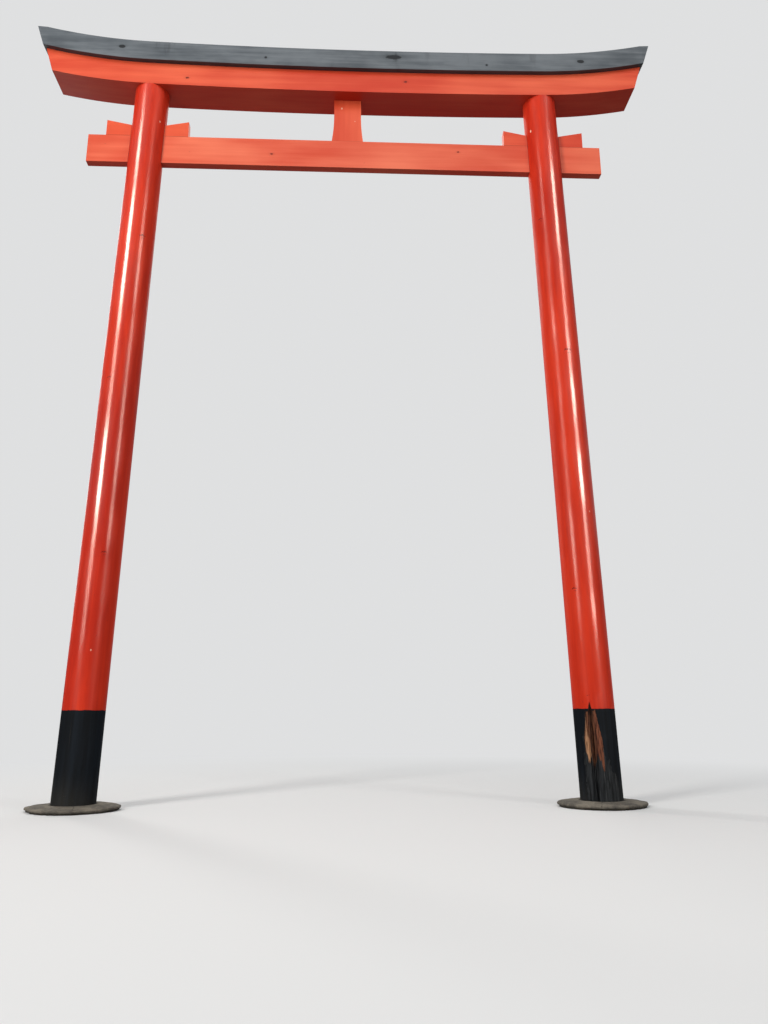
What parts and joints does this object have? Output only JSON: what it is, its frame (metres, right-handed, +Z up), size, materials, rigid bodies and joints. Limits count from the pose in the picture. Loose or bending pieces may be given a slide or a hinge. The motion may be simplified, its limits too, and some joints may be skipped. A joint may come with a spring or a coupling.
{
  "type": "torii gate",
  "caption": "Wooden shrine gate with two leaning round posts in mortar collars, a wedged tie beam, a strut, a lower lintel and a black top rail with raised ends",
  "frame": {"origin": "On the ground, midway between the two post feet, in the plane of the gate", "axes": "+X along the beams to the right as seen on the way in, +Y through the gate away from the approach, +Z up"},
  "size_m": [2.5792, 0.303, 3.0983],
  "materials": {
    "post_paint": "glossy vermilion lacquer on turned wood, black on the lowest third of a metre",
    "beam_paint": "glossy vermilion lacquer on planed wood",
    "wedge_paint": "vermilion lacquer on sawn wood",
    "lintel_paint": "vermilion lacquer on planed wood",
    "rail_paint": "weathered black paint on planed wood with knots",
    "mortar": "hand-laid sand mortar"
  },
  "bodies": {
    "root": {"left_collar": "mortar", "right_collar": "mortar", "left_post": "post_paint", "right_post": "post_paint", "tie_beam": "beam_paint", "left_inner_wedge": "wedge_paint", "left_outer_wedge": "wedge_paint", "right_inner_wedge": "wedge_paint", "right_outer_wedge": "wedge_paint", "centre_strut": "beam_paint", "lower_lintel": "lintel_paint", "top_rail": "rail_paint"}
  },
  "joints": []
}
